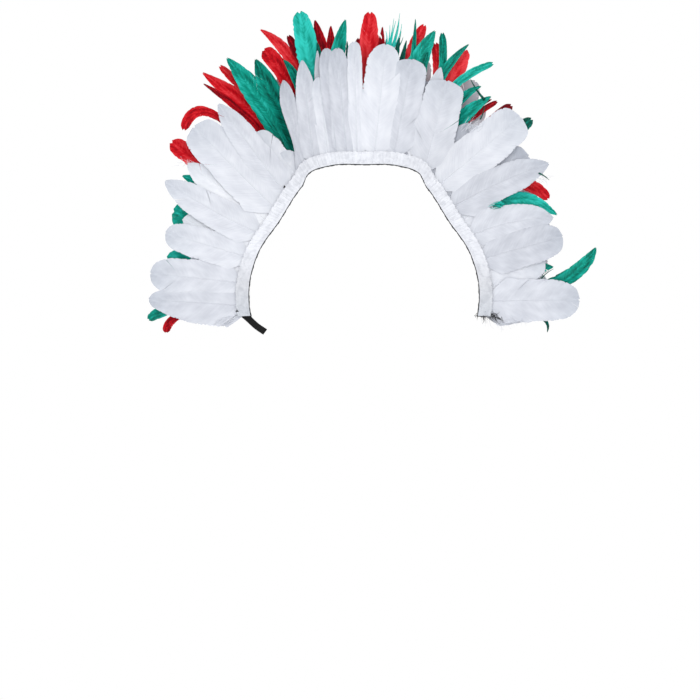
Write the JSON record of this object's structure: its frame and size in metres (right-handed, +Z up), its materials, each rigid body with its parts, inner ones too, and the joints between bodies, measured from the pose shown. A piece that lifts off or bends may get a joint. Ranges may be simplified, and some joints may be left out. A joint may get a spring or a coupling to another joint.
{
  "type": "feather shawl",
  "caption": "Horseshoe shawl worn round neck and shoulders: white goose feathers in front, long red and green rooster feathers behind, white edge tape and a black felt yoke.",
  "frame": {"origin": "middle of the inner edge, where the shawl sits on the nape of the neck", "axes": "+X to the right in the front view (the wearer's left), +Y behind the wearer, +Z up as worn"},
  "size_m": [0.6692, 0.2274, 0.4877],
  "materials": {
    "felt": "matte black felt",
    "white_feather_back": "soft greyish-white feather",
    "red_feather": "dyed red feather, slightly glossy",
    "green_feather": "dyed green feather, slightly glossy",
    "white_feather": "soft white feather",
    "tape": "gathered white cotton tape",
    "ribbon": "black woven ribbon"
  },
  "bodies": {
    "root": {"felt_yoke": "felt", "goose_back": "white_feather_back", "coque_red": "red_feather", "coque_green": "green_feather", "goose_front_b": "white_feather", "goose_front_a": "white_feather", "header_tape": "tape", "tie_ribbon": "ribbon"}
  },
  "joints": []
}
